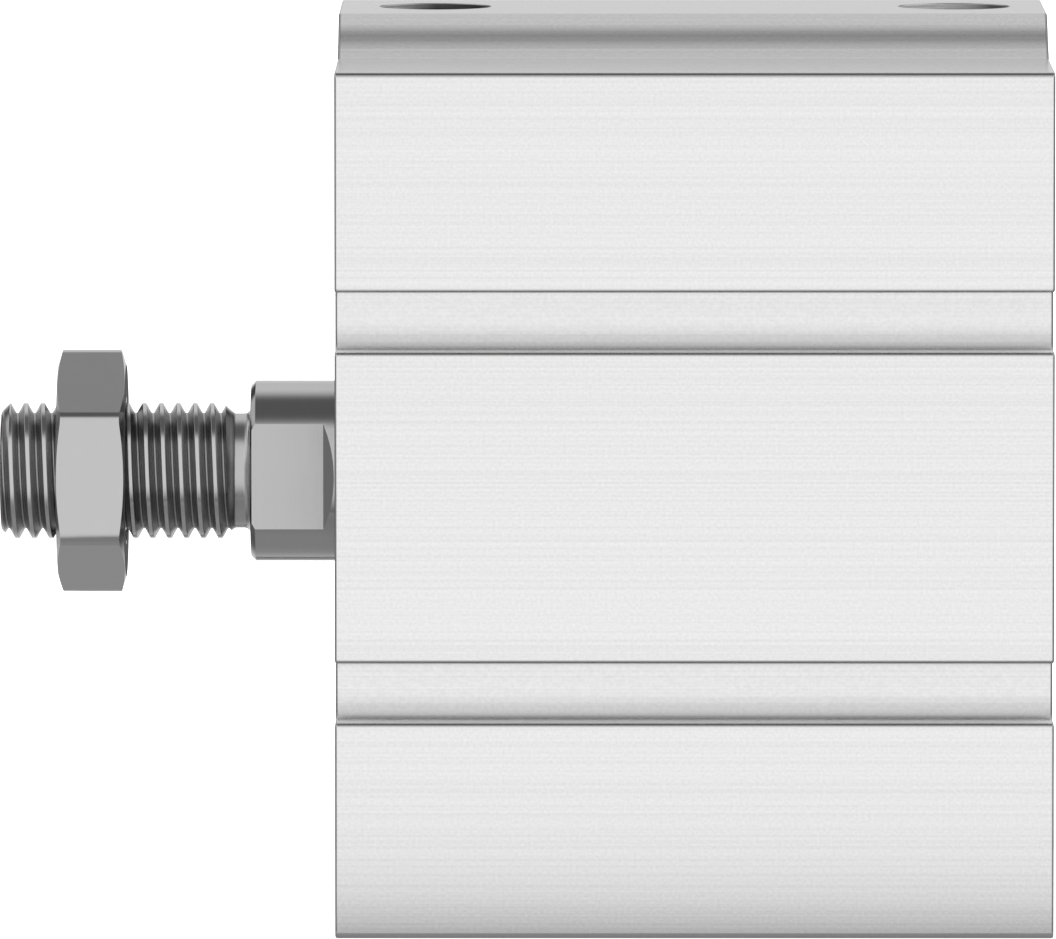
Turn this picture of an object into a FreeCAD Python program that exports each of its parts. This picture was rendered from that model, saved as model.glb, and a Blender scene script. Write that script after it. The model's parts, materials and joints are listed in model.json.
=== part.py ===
import FreeCAD, Part
import math
import os

# Compact double-acting pneumatic cylinder, 63 mm bore, 25 mm stroke.
# Millimetres. Origin: rod axis on the front (rod side) mounting face.
# The rod points along -X, the body runs along +X, the supply ports face +Z.

V = FreeCAD.Vector

# ---------------------------------------------------------------- dimensions
# body extrusion
BODY_L = 62.2          # length of the body along the rod axis
HALF = 37.5            # half of the 75 mm square section
SHOULDER_Z = 37.62     # flat beside the rail
HUMP_Z = 41.20         # top of the raised port rail
HUMP_FLAT = 10.4       # half width of the flat rail top
HUMP_DEG = (26.6, 34.0, 27.5)  # flank slope beside the flat, at its steepest and at the foot
HUMP_RUN = 2.086       # straight part of the flank beside the flat
HUMP_R = 13.3          # convex upper arc
HUMP_FOOT_R = 17.75    # concave lower arc
TOP_EDGE_R = 0.6
BOTTOM_EDGE_R = 0.5
END_EDGE_R = 0.22      # deburred edge around both end faces
GROOVE_W = 5.2         # mouth of the T-shaped sensor grooves
GROOVE_D = 5.4
GROOVE_AT = 16.05      # bottom grooves, either side of the middle
GROOVE_HI = 15.98      # upper groove of the front and back
GROOVE_LO = -16.19     # lower groove of the front and back
GROOVE_LIP = 3.2       # depth of the mouth
GROOVE_IN_W = 6.6      # width behind the lips
GROOVE_FLOOR_R = 1.6
GROOVE_LIP_R = 0.4

# bore
BORE_R = 31.5
SEAT_R = 32.2          # register for bearing cap and rear cover
SEAT_L = 8.4           # depth of the register
CLIP_GROOVE_R = 33.7
CLIP_GROOVE_0 = 1.2
CLIP_GROOVE_1 = 3.35

# ports, G 1/8
PORT_R = 4.864
PORT_D = 7.2
PORT_X = (8.4, 54.25)
PASSAGE_R = 1.75
PASSAGE_DX = 2.05      # passage offset towards the chamber

# corner fixing holes, M8
FIX_AT = 28.25
FIX_R = 4.0
FIX_D = 16.0
FIX_THROUGH_R = 3.4

# piston rod
ROD_R = 8.0
ROD_OUT = 7.95         # plain rod in front of the body
THREAD_R = 6.0
THREAD_L = 22.15       # shoulder to tip
THREAD_PITCH = 1.5
THREAD_ROOT_R = 5.13
THREAD_TOP_X = -17.45  # one crest on the +Z side, sets the phase of the helix
UNDERCUT_R = 5.08
UNDERCUT_L = 1.487
UNDERCUT_CONE = 1.096  # length of the cone where the thread runs out
TIP_CHAMFER = 0.8
COLLAR_CHAMFER = 0.44
FLAT_HALF = 6.5        # 13 mm spanner flats
FLAT_END = -1.48
FLAT_RUNOUT = 0.96
SPIGOT_R = 6.0

# hexagon nut
NUT_AF = 19.0
NUT_X0 = -25.03
NUT_T = 6.02
NUT_BORE_R = 6.05
NUT_EDGE_R = 1.5
NUT_CHAMFER_DEG = 17.0
NUT_CHAMFER_R = 9.42
NUT_TILT_DEG = 0.0

# piston, retracted
PISTON_X0 = 40.2
PISTON_X1 = 51.4
PISTON_R = 31.1
PISTON_MID = 0.5 * (PISTON_X0 + PISTON_X1)

RUN = 0.05             # running gap of sliding seals and rings
SLIP = 0.03            # gap of pieces that sit still in each other


# ------------------------------------------------------------------- helpers
def outline(points):
    """Closed list of edges through 2-D points (u, v, corner radius)."""
    n = len(points)
    corner = []
    for i in range(n):
        u, v, r = points[i]
        if r <= 0:
            corner.append(((u, v), None, (u, v)))
            continue
        pu, pv, _ = points[i - 1]
        nu, nv, _ = points[(i + 1) % n]
        a = (pu - u, pv - v)
        b = (nu - u, nv - v)
        la = math.hypot(*a)
        lb = math.hypot(*b)
        a = (a[0] / la, a[1] / la)
        b = (b[0] / lb, b[1] / lb)
        half = 0.5 * math.acos(max(-1.0, min(1.0, a[0] * b[0] + a[1] * b[1])))
        t = r / math.tan(half)
        m = (a[0] + b[0], a[1] + b[1])
        lm = math.hypot(*m)
        k = r / math.sin(half) - r
        start = (u + a[0] * t, v + a[1] * t)
        end = (u + b[0] * t, v + b[1] * t)
        mid = (u + m[0] / lm * k, v + m[1] / lm * k)
        corner.append((start, mid, end))
    return corner


def wire(points, place):
    c = outline(points)
    edges = []
    n = len(c)
    for i in range(n):
        start, mid, end = c[i]
        if mid is not None:
            edges.append(Part.Arc(place(*start), place(*mid), place(*end)).toShape())
        nxt = c[(i + 1) % n][0]
        if math.hypot(end[0] - nxt[0], end[1] - nxt[1]) > 1e-6:
            edges.append(Part.LineSegment(place(*end), place(*nxt)).toShape())
    return Part.Wire(edges)


def revolve(points):
    """Solid of revolution about the X axis. Points are (x, r[, corner radius])."""
    pts = [(p[0], p[1], p[2] if len(p) > 2 else 0.0) for p in points]
    face = Part.Face(wire(pts, lambda x, r: V(x, 0, r)))
    return face.revolve(V(0, 0, 0), V(1, 0, 0), 360)


def extrude(points, x0, x1):
    """Prism along X. Points are (y, z, corner radius)."""
    face = Part.Face(wire(points, lambda y, z: V(x0, y, z)))
    return face.extrude(V(x1 - x0, 0, 0))


def cyl_x(r, x0, x1, y=0.0, z=0.0):
    return Part.makeCylinder(r, x1 - x0, V(x0, y, z), V(1, 0, 0))


def cone_x(r0, r1, x0, x1, y=0.0, z=0.0):
    return Part.makeCone(r0, r1, x1 - x0, V(x0, y, z), V(1, 0, 0))


def mirrored(points, about):
    return [(2 * about - p[0],) + tuple(p[1:]) for p in points]


def save(shape, node):
    solids = shape.Solids
    assert len(solids) == 1, (node, len(solids))
    s = solids[0]
    assert s.isValid(), node
    s.exportStep("parts/%s.step" % node)
    b = s.BoundBox
    print("%-20s %10.1f mm3  X %.2f..%.2f Y %.2f..%.2f Z %.2f..%.2f"
          % (node, s.Volume, b.XMin, b.XMax, b.YMin, b.YMax, b.ZMin, b.ZMax))


os.makedirs("parts", exist_ok=True)

# --------------------------------------------------------------------- body
gw = GROOVE_W / 2
gn = GROOVE_IN_W / 2
gl = HALF - GROOVE_LIP
gi = HALF - GROOVE_D
# theoretical corners of the rail's flank
c0, c1, c2 = [math.radians(d) for d in HUMP_DEG]
t1 = HUMP_R * math.tan((c1 - c0) / 2)
t2 = HUMP_FOOT_R * math.tan((c1 - c2) / 2)
knee = (HUMP_FLAT + (HUMP_RUN + t1) * math.cos(c0), HUMP_Z - (HUMP_RUN + t1) * math.sin(c0))
sole = (knee[0] + (t1 + t2) * math.cos(c1), knee[1] - (t1 + t2) * math.sin(c1))
foot = (sole[0] + (sole[1] - SHOULDER_Z) / math.tan(c2), SHOULDER_Z)
side = [
    (HUMP_FLAT, HUMP_Z, 0.3),
    (knee[0], knee[1], HUMP_R - 0.02),
    (sole[0], sole[1], HUMP_FOOT_R - 0.02),
    (foot[0], foot[1], 0.3),
    (HALF, SHOULDER_Z, TOP_EDGE_R),
]
for zc in (GROOVE_HI, GROOVE_LO):
    side += [
        (HALF, zc + gw, GROOVE_LIP_R),
        (gl, zc + gw, 0.3),
        (gl, zc + gn, 0.3),
        (gi, zc + gn, GROOVE_FLOOR_R),
        (gi, zc - gn, GROOVE_FLOOR_R),
        (gl, zc - gn, 0.3),
        (gl, zc - gw, 0.3),
        (HALF, zc - gw, GROOVE_LIP_R),
    ]
side += [
    (HALF, -HALF, BOTTOM_EDGE_R),
    (GROOVE_AT + gw, -HALF, GROOVE_LIP_R),
    (GROOVE_AT + gw, -gl, 0.3),
    (GROOVE_AT + gn, -gl, 0.3),
    (GROOVE_AT + gn, -gi, GROOVE_FLOOR_R),
    (GROOVE_AT - gn, -gi, GROOVE_FLOOR_R),
    (GROOVE_AT - gn, -gl, 0.3),
    (GROOVE_AT - gw, -gl, 0.3),
    (GROOVE_AT - gw, -HALF, GROOVE_LIP_R),
]
section = side + [(-y, z, r) for y, z, r in reversed(side)]
body = extrude(section, 0.0, BODY_L)
end_edges = []
for e in body.Edges:
    b = e.BoundBox
    if b.XMax - b.XMin < 1e-6:
        end_edges.append(e)
body = body.makeFillet(END_EDGE_R, end_edges)


def bore_side():
    pts = [
        (-1.0, SEAT_R + 0.4),
        (0.0, SEAT_R + 0.4),
        (0.4, SEAT_R),
        (CLIP_GROOVE_0, SEAT_R),
        (CLIP_GROOVE_0, CLIP_GROOVE_R),
        (CLIP_GROOVE_1, CLIP_GROOVE_R),
        (CLIP_GROOVE_1, SEAT_R),
        (SEAT_L, SEAT_R),
        (SEAT_L, BORE_R + 0.25),
        (SEAT_L + 0.5, BORE_R),
    ]
    return pts


front = bore_side()
rear = [(BODY_L - x, r) for x, r in reversed(front)]
bore = revolve([(-1.0, 0.0)] + front + rear + [(BODY_L + 1.0, 0.0)])
body = body.cut(bore)

for sy in (1, -1):
    for sz in (1, -1):
        y, z = sy * FIX_AT, sz * FIX_AT
        tool = cyl_x(FIX_THROUGH_R, -1, BODY_L + 1, y, z)
        tool = tool.fuse(cyl_x(FIX_R, -1, FIX_D, y, z))
        tool = tool.fuse(cyl_x(FIX_R, BODY_L - FIX_D, BODY_L + 1, y, z))
        tool = tool.fuse(cone_x(FIX_R + 1.45, FIX_R, -1.0, 0.45, y, z))
        tool = tool.fuse(cone_x(FIX_R, FIX_R + 1.45, BODY_L - 0.45, BODY_L + 1.0, y, z))
        body = body.cut(tool)

for i, px in enumerate(PORT_X):
    floor = HUMP_Z - PORT_D
    tool = Part.makeCylinder(PORT_R, PORT_D + 1, V(px, 0, floor))
    rim = 0.12
    tool = tool.fuse(Part.makeCone(PORT_R, PORT_R + rim + 1, rim + 1, V(px, 0, HUMP_Z - rim)))
    dx = PASSAGE_DX if i == 0 else -PASSAGE_DX
    tool = tool.fuse(Part.makeCylinder(PASSAGE_R, floor - 25.0, V(px + dx, 0, 25.0)))
    body = body.cut(tool)
save(body, "cylinder_body")

# ------------------------------------------------------- front bearing cap
CAP_IN = 14.4          # inner face of the cap
BUMP_R0, BUMP_R1 = 14.0, 19.0
cap = revolve([
    (0.6, 11.5),
    (0.6, 20.5, 0.5),
    (3.4, 20.5, 0.4),
    (3.4, SEAT_R - RUN, 0.3),
    (4.7, SEAT_R - RUN),
    (4.7, 30.3),
    (7.1, 30.3),
    (7.1, SEAT_R - RUN),
    (SEAT_L - 0.02, SEAT_R - RUN, 0.2),
    (SEAT_L - 0.02, 28.5, 0.3),
    (CAP_IN, 28.5, 0.6),
    (CAP_IN, BUMP_R1),
    (CAP_IN - 1.5, BUMP_R1),
    (CAP_IN - 1.5, BUMP_R0),
    (CAP_IN, BUMP_R0),
    (CAP_IN, 9.5, 0.3),
    (8.8, 9.5),
    (8.8, 8.35),
    (8.2, 8.35),
    (8.2, 11.0),
    (4.6, 11.0),
    (4.6, 8.6),
    (4.0, 8.6),
    (4.0, 11.5),
])
save(cap, "bearing_cap")

save(Part.makeTorus(31.25, 0.9, V(5.9, 0, 0), V(1, 0, 0)), "bearing_cap_oring")

save(revolve([
    (8.85, 8.03, 0.15),
    (8.85, 9.47, 0.3),
    (CAP_IN - 0.15, 9.47, 0.15),
    (CAP_IN - 0.15, 8.03, 0.3),
]), "rod_bush")

# U-section rod seal, open towards the chamber
save(revolve([
    (4.7, 8.75, 0.2),
    (4.7, 10.95, 0.2),
    (8.1, 10.95, 0.15),
    (8.1, 10.35),
    (6.4, 10.0, 0.35),
    (6.4, 9.3, 0.35),
    (8.1, 8.75),
    (8.0, 8.06, 0.12),
    (6.9, 8.06),
    (6.0, 8.4),
]), "rod_seal")

# wiper with a scraping lip that stands just proud of the cap
save(revolve([
    (3.95, 8.75, 0.2),
    (3.95, 11.47, 0.2),
    (0.95, 11.47, 0.25),
    (0.85, 9.9, 0.5),
    (0.25, 8.75, 0.12),
    (0.3, 8.06, 0.1),
    (0.75, 8.06, 0.1),
    (1.9, 8.75, 0.4),
]), "rod_wiper")

save(revolve([
    (CAP_IN - 1.47, BUMP_R0 + SLIP, 0.1),
    (CAP_IN - 1.47, BUMP_R1 - SLIP, 0.1),
    (CAP_IN + 0.5, BUMP_R1 - SLIP - 0.3, 0.4),
    (CAP_IN + 0.5, BUMP_R0 + SLIP + 0.3, 0.4),
]), "front_bumper")


def circlip(x0, x1, turn):
    """Internal retaining ring with two eyed lugs at the gap."""
    ro = CLIP_GROOVE_R - 0.15
    ring = cyl_x(ro, x0, x1).cut(cyl_x(28.7, x0 - 1, x1 + 1, 0, -0.9))
    half = math.radians(15.5)
    holes = []
    for s in (1, -1):
        y, z = s * 28.2 * math.sin(half), -28.2 * math.cos(half)
        ring = ring.fuse(cyl_x(3.3, x0, x1, y, z))
        holes.append(cyl_x(1.3, x0 - 1, x1 + 1, y, z))
    ring = ring.cut(Part.makeBox(x1 - x0 + 2, 10.8, 16.0, V(x0 - 1, -5.4, -38.0)))
    for h in holes:
        ring = ring.cut(h)
    ring = ring.removeSplitter()

    def across(test):
        found = []
        for e in ring.Edges:
            b = e.BoundBox
            if b.XMax - b.XMin > 1.9 and e.Curve.TypeId == "Part::GeomLine" and test(abs(b.Center.y)):
                found.append(e)
        return found

    ring = ring.makeFillet(1.2, across(lambda y: y > 10.0))
    ring = ring.makeFillet(0.6, across(lambda y: y < 5.5))
    edges = [e for e in ring.Edges if e.BoundBox.XMax - e.BoundBox.XMin < 1e-6]
    ring = ring.makeChamfer(0.15, edges)
    ring.rotate(V(0, 0, 0), V(1, 0, 0), turn)
    return ring


save(circlip(1.3, 3.3, 0.0), "front_circlip")

# ------------------------------------------------------------ rear cover
RC_IN = 52.2
RC_F0 = BODY_L - SEAT_L + 0.02
RC_F1 = BODY_L - 3.4
rear_cover = revolve([
    (RC_IN, 0.0),
    (RC_IN, BUMP_R0),
    (RC_IN + 1.5, BUMP_R0),
    (RC_IN + 1.5, BUMP_R1),
    (RC_IN, BUMP_R1),
    (RC_IN, 28.5, 0.4),
    (RC_F0, 28.5, 0.2),
    (RC_F0, SEAT_R - RUN, 0.2),
    (BODY_L - 7.1, SEAT_R - RUN),
    (BODY_L - 7.1, 30.3),
    (BODY_L - 4.7, 30.3),
    (BODY_L - 4.7, SEAT_R - RUN),
    (RC_F1, SEAT_R - RUN, 0.3),
    (RC_F1, 22.0, 0.4),
    (BODY_L - 0.6, 22.0, 0.5),
    (BODY_L - 0.6, 15.0, 0.3),
    (BODY_L - 1.6, 14.0, 0.4),
    (BODY_L - 1.6, 0.0),
])
save(rear_cover, "rear_cover")
save(Part.makeTorus(31.25, 0.9, V(BODY_L - 5.9, 0, 0), V(1, 0, 0)), "rear_cover_oring")
save(circlip(BODY_L - 3.3, BODY_L - 1.3, 0.0), "rear_circlip")
save(revolve([
    (RC_IN - 0.5, BUMP_R0 + SLIP + 0.3, 0.4),
    (RC_IN - 0.5, BUMP_R1 - SLIP - 0.3, 0.4),
    (RC_IN + 1.47, BUMP_R1 - SLIP, 0.1),
    (RC_IN + 1.47, BUMP_R0 + SLIP, 0.1),
]), "rear_bumper")

# ------------------------------------------------------------- piston rod
tip = -ROD_OUT - THREAD_L
TAP_R = 4.05
rod = revolve([
    (tip, 0.0),
    (tip, THREAD_R - TIP_CHAMFER, 0.5),
    (tip + TIP_CHAMFER, THREAD_R),
    (-ROD_OUT - UNDERCUT_L + 0.05 - UNDERCUT_CONE, THREAD_R),
    (-ROD_OUT - UNDERCUT_L + 0.05, UNDERCUT_R, 0.35),
    (-ROD_OUT, UNDERCUT_R, 0.65),
    (-ROD_OUT, ROD_R - COLLAR_CHAMFER),
    (-ROD_OUT + COLLAR_CHAMFER, ROD_R),
    (PISTON_X0, ROD_R, 0.2),
    (PISTON_X0, SPIGOT_R, 0.0),
    (46.0, SPIGOT_R, 0.4),
    (46.0, TAP_R),
    (24.0, TAP_R),
    (23.0, 0.0),
])
for s in (1, -1):
    # spanner flat with a sloping run-out towards the body
    d = ROD_R - FLAT_HALF + 1.0
    slope = FLAT_RUNOUT / (ROD_R - FLAT_HALF)
    pts = [
        V(-ROD_OUT - 1, s * FLAT_HALF, -12),
        V(FLAT_END, s * FLAT_HALF, -12),
        V(FLAT_END + slope * d, s * (FLAT_HALF + d), -12),
        V(-ROD_OUT - 1, s * (FLAT_HALF + d), -12),
    ]
    face = Part.Face(Part.makePolygon(pts + [pts[0]]))
    rod = rod.cut(face.extrude(V(0, 0, 24)))

# right-hand helical groove between the thread crests, from beyond the tip into
# the undercut
turn_0 = THREAD_TOP_X - 10 * THREAD_PITCH
turn_1 = -ROD_OUT - 1.0
helix = Part.makeLongHelix(THREAD_PITCH, turn_1 - turn_0, THREAD_ROOT_R, 0)
rise = THREAD_R + 0.1 - THREAD_ROOT_R
w0 = THREAD_PITCH / 20
w1 = w0 + rise * math.tan(math.radians(30))
vee = Part.makePolygon([
    V(THREAD_ROOT_R, 0, -w0),
    V(THREAD_ROOT_R + rise, 0, -w1),
    V(THREAD_ROOT_R + rise, 0, w1),
    V(THREAD_ROOT_R, 0, w0),
    V(THREAD_ROOT_R, 0, -w0),
])
groove = Part.Wire(helix.Edges).makePipeShell([vee], True, True)
groove.rotate(V(0, 0, 0), V(0, 1, 0), 90)
groove.translate(V(turn_0, 0, 0))
plain = rod.Volume
rod = rod.cut(groove)
assert 250 < plain - rod.Volume < 350, plain - rod.Volume
save(rod, "piston_rod")

# ----------------------------------------------------------------- piston
SEAL_0, SEAL_1, SEAL_IN = PISTON_X0 + 1.0, PISTON_X0 + 3.2, 28.3
GUIDE_0, GUIDE_1, GUIDE_IN = PISTON_MID - 1.5, PISTON_MID + 1.5, 29.9
MAG_0, MAG_1, MAG_R0, MAG_R1 = PISTON_MID - 1.2, PISTON_MID + 1.2, 23.0, 29.0
HEAD_R, HEAD_X = 7.8, 51.2

piston_front = revolve([
    (PISTON_X0, 7.7),
    (PISTON_X0, 12.0),
    (PISTON_X0 + 0.4, 12.4),
    (PISTON_X0 + 0.4, 20.6),
    (PISTON_X0, 21.0),
    (PISTON_X0, PISTON_R, 0.3),
    (SEAL_0, PISTON_R),
    (SEAL_0, SEAL_IN),
    (SEAL_1, SEAL_IN),
    (SEAL_1, PISTON_R),
    (GUIDE_0, PISTON_R),
    (GUIDE_0, GUIDE_IN),
    (PISTON_MID - 0.01, GUIDE_IN),
    (PISTON_MID - 0.01, MAG_R1),
    (MAG_0, MAG_R1),
    (MAG_0, MAG_R0),
    (PISTON_MID - 0.01, MAG_R0),
    (PISTON_MID - 0.01, SPIGOT_R + SLIP),
    (PISTON_X0 + 1.6, SPIGOT_R + SLIP),
    (PISTON_X0 + 1.6, 7.7),
])
save(piston_front, "piston_front")

m = PISTON_MID
piston_rear = revolve([
    (m + 0.01, SPIGOT_R + SLIP),
    (m + 0.01, MAG_R0),
    (MAG_1, MAG_R0),
    (MAG_1, MAG_R1),
    (m + 0.01, MAG_R1),
    (m + 0.01, GUIDE_IN),
    (GUIDE_1, GUIDE_IN),
    (GUIDE_1, PISTON_R),
    (2 * m - SEAL_1, PISTON_R),
    (2 * m - SEAL_1, SEAL_IN),
    (2 * m - SEAL_0, SEAL_IN),
    (2 * m - SEAL_0, PISTON_R),
    (PISTON_X1, PISTON_R, 0.3),
    (PISTON_X1, 21.0),
    (PISTON_X1 - 0.4, 20.6),
    (PISTON_X1 - 0.4, 12.4),
    (PISTON_X1, 12.0),
    (PISTON_X1, HEAD_R + SLIP + 0.22),
    (HEAD_X, HEAD_R + SLIP),
    (HEAD_X - (HEAD_R - 4.2), 4.2 + SLIP),
    (46.2, 4.2 + SLIP),
    (46.2, SPIGOT_R + SLIP),
])
save(piston_rear, "piston_rear")

save(revolve([
    (MAG_0 + SLIP, MAG_R0 + SLIP, 0.15),
    (MAG_0 + SLIP, MAG_R1 - SLIP, 0.15),
    (MAG_1 - SLIP, MAG_R1 - SLIP, 0.15),
    (MAG_1 - SLIP, MAG_R0 + SLIP, 0.15),
]), "piston_magnet")

guide = revolve([
    (GUIDE_0 + 0.08, GUIDE_IN + 0.06),
    (GUIDE_0 + 0.08, BORE_R - RUN - 0.2),
    (GUIDE_0 + 0.28, BORE_R - RUN),
    (GUIDE_1 - 0.28, BORE_R - RUN),
    (GUIDE_1 - 0.08, BORE_R - RUN - 0.2),
    (GUIDE_1 - 0.08, GUIDE_IN + 0.06),
])
# butt gap of the guide band
gap = Part.makeBox(14.0, 1.2, 6.0, V(m - 7.0, -0.6, -33.5))
save(guide.cut(gap), "piston_guide_ring")

seal = [
    (SEAL_0 + 0.08, SEAL_IN + 0.06, 0.1),
    (SEAL_1 - 0.08, SEAL_IN + 0.06, 0.2),
    (SEAL_1 - 0.08, 30.7, 0.2),
    (SEAL_0 + 0.75, BORE_R - RUN, 0.1),
    (SEAL_0 + 0.15, BORE_R - RUN, 0.1),
    (SEAL_0 + 0.9, 30.1, 0.3),
    (SEAL_0 + 0.9, 29.2, 0.3),
    (SEAL_0 + 0.08, 28.9, 0.0),
]
save(revolve(seal), "piston_seal_front")
save(revolve(list(reversed(mirrored(seal, m)))), "piston_seal_rear")

save(Part.makeTorus(6.86, 0.75, V(PISTON_X0 + 0.8, 0, 0), V(1, 0, 0)), "piston_oring")

# countersunk screw that clamps the piston to the rod
hex_af = 5.0
screw = revolve([
    (26.0, 0.0),
    (26.0, 3.3),
    (26.7, 4.0),
    (46.6, 4.0),
    (HEAD_X - (HEAD_R - 4.2) + 0.2, 4.0),
    (HEAD_X - 0.2, HEAD_R - 0.2),
    (HEAD_X, HEAD_R - 0.2, 0.0),
    (HEAD_X, 0.0),
])
hx = [(hex_af / math.sqrt(3) * math.cos(math.radians(60 * k + 30)),
       hex_af / math.sqrt(3) * math.sin(math.radians(60 * k + 30)), 0.0) for k in range(6)]
socket = extrude(hx, HEAD_X - 3.2, HEAD_X + 1.0)
socket = socket.fuse(cone_x(1.2, 2.45, HEAD_X - 4.0, HEAD_X - 3.2))
save(screw.cut(socket), "piston_screw")

# -------------------------------------------------------------------- nut
c = NUT_AF / math.sqrt(3)
hexagon = [(c * math.cos(math.radians(60 * k + 90 + NUT_TILT_DEG)),
            c * math.sin(math.radians(60 * k + 90 + NUT_TILT_DEG)), NUT_EDGE_R) for k in range(6)]
nut = extrude(hexagon, NUT_X0, NUT_X0 + NUT_T)
k = math.tan(math.radians(NUT_CHAMFER_DEG))
far = 14.0
nut = nut.common(revolve([
    (NUT_X0, 0.0),
    (NUT_X0, NUT_CHAMFER_R),
    (NUT_X0 + (far - NUT_CHAMFER_R) * k, far),
    (NUT_X0 + NUT_T - (far - NUT_CHAMFER_R) * k, far),
    (NUT_X0 + NUT_T, NUT_CHAMFER_R),
    (NUT_X0 + NUT_T, 0.0),
]))
nut = nut.cut(revolve([
    (NUT_X0 - 1.0, 0.0),
    (NUT_X0 - 1.0, NUT_BORE_R + 1.5),
    (NUT_X0 + 0.5, NUT_BORE_R),
    (NUT_X0 + NUT_T - 0.5, NUT_BORE_R),
    (NUT_X0 + NUT_T + 1.0, NUT_BORE_R + 1.5),
    (NUT_X0 + NUT_T + 1.0, 0.0),
]))
save(nut, "hex_nut")
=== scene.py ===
import json
import math

import bmesh
import bpy
from mathutils import Matrix, Vector


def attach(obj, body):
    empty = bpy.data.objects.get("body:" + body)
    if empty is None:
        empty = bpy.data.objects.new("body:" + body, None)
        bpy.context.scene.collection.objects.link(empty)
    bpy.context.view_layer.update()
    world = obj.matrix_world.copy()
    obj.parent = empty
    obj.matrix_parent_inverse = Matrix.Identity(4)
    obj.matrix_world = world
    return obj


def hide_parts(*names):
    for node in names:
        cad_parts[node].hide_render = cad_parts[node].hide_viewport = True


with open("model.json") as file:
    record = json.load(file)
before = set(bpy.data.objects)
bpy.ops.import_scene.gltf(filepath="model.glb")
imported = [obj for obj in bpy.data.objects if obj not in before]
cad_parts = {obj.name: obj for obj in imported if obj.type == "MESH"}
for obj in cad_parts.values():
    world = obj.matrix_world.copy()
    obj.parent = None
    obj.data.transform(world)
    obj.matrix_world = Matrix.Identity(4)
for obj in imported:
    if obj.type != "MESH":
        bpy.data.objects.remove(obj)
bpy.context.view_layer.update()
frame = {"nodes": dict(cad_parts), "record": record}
nodes = frame["nodes"]
scene = bpy.context.scene

MM = 0.001
BODY_L = 62.2
PORT_X = (8.4, 54.25)


# ------------------------------------------------------------------ materials
class Net:
    """Small helper to lay out a node material."""

    def __init__(self, name):
        self.mat = bpy.data.materials.new(name)
        self.mat.use_nodes = True
        self.tree = self.mat.node_tree
        self.tree.nodes.clear()
        self.out = self.add("ShaderNodeOutputMaterial")
        self.bsdf = self.add("ShaderNodeBsdfPrincipled")
        self.link(self.bsdf.outputs[0], self.out.inputs[0])
        self.coord = self.add("ShaderNodeTexCoord")

    def add(self, kind):
        return self.tree.nodes.new(kind)

    def link(self, a, b):
        self.tree.links.new(a, b)

    def set(self, **values):
        for key, v in values.items():
            self.bsdf.inputs[key.replace("_", " ")].default_value = v

    def noise(self, scale, detail=3.0, rough=0.55, stretch=(1, 1, 1), turn=(0, 0, 0)):
        m = self.add("ShaderNodeMapping")
        m.inputs["Scale"].default_value = [s * scale for s in stretch]
        m.inputs["Rotation"].default_value = turn
        self.link(self.coord.outputs["Object"], m.inputs["Vector"])
        n = self.add("ShaderNodeTexNoise")
        n.inputs["Scale"].default_value = 1.0
        n.inputs["Detail"].default_value = detail
        n.inputs["Roughness"].default_value = rough
        self.link(m.outputs[0], n.inputs["Vector"])
        return n.outputs[0]

    def ramp(self, value, stops):
        r = self.add("ShaderNodeValToRGB")
        e = r.color_ramp.elements
        while len(e) < len(stops):
            e.new(0.5)
        for el, (p, c) in zip(e, stops):
            el.position = p
            el.color = (c, c, c, 1) if isinstance(c, (int, float)) else (*c, 1)
        self.link(value, r.inputs[0])
        return r.outputs[0]

    def math(self, op, a, b):
        m = self.add("ShaderNodeMath")
        m.operation = op
        for i, v in enumerate((a, b)):
            if isinstance(v, (int, float)):
                m.inputs[i].default_value = v
            else:
                self.link(v, m.inputs[i])
        return m.outputs[0]

    def range(self, value, lo, hi, a=0.0, b=1.0):
        m = self.add("ShaderNodeMapRange")
        m.inputs["From Min"].default_value = a
        m.inputs["From Max"].default_value = b
        m.inputs["To Min"].default_value = lo
        m.inputs["To Max"].default_value = hi
        self.link(value, m.inputs["Value"])
        return m.outputs[0]

    def split(self, vector):
        s = self.add("ShaderNodeSeparateXYZ")
        self.link(vector, s.inputs[0])
        return s.outputs[0], s.outputs[1], s.outputs[2]

    def shade(self, colour, factor):
        m = self.add("ShaderNodeVectorMath")
        m.operation = "SCALE"
        self.link(colour, m.inputs[0])
        self.link(factor, m.inputs["Scale"])
        return m.outputs[0]

    def bump(self, height, strength, distance):
        b = self.add("ShaderNodeBump")
        b.inputs["Strength"].default_value = strength
        b.inputs["Distance"].default_value = distance
        self.link(height, b.inputs["Height"])
        self.link(b.outputs[0], self.bsdf.inputs["Normal"])
        return b


def tint(rgb, k):
    return tuple(min(1.0, c * k) for c in rgb)


def painted_edge_shade_mask(n):
    """1 on the small rounded edges of the outer faces and of both ends, where painted shade darkens the anodised
    skin.
    """
    nx, ny, nz = n.split(n.coord.outputs["Normal"])
    flat = n.math("MAXIMUM", n.math("ABSOLUTE", nx, 0), n.math("MAXIMUM", n.math("ABSOLUTE", ny, 0), n.math("ABSOLUTE", nz, 0)))
    tilted = n.range(flat, 1.0, 0.0, 0.90, 0.9990)
    x, y, z = n.split(n.coord.outputs["Object"])
    skin = n.range(n.math("ABSOLUTE", y, 0), 0.0, 1.0, 0.03685, 0.03690)
    ends = n.range(n.math("ABSOLUTE", n.math("SUBTRACT", x, 0.0311), 0), 0.0, 1.0, 0.03085, 0.03090)
    foot = n.range(z, 0.0, 1.0, -0.03690, -0.03685)
    return n.math("MULTIPLY", n.math("MULTIPLY", tilted, foot), n.math("MAXIMUM", skin, ends))


# painted light and shade on the bored wall of each supply port, along X
PORT_PAINTED_SHADE = [
    [(0.0, 1.2), (0.15, 1.0), (0.35, 0.45), (0.5, 0.16), (0.9, 0.14), (1.0, 0.25)],
    [(0.0, 1.4), (0.2, 1.25), (0.5, 0.85), (0.7, 0.65), (0.85, 0.30), (1.0, 0.35)],
]


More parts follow.
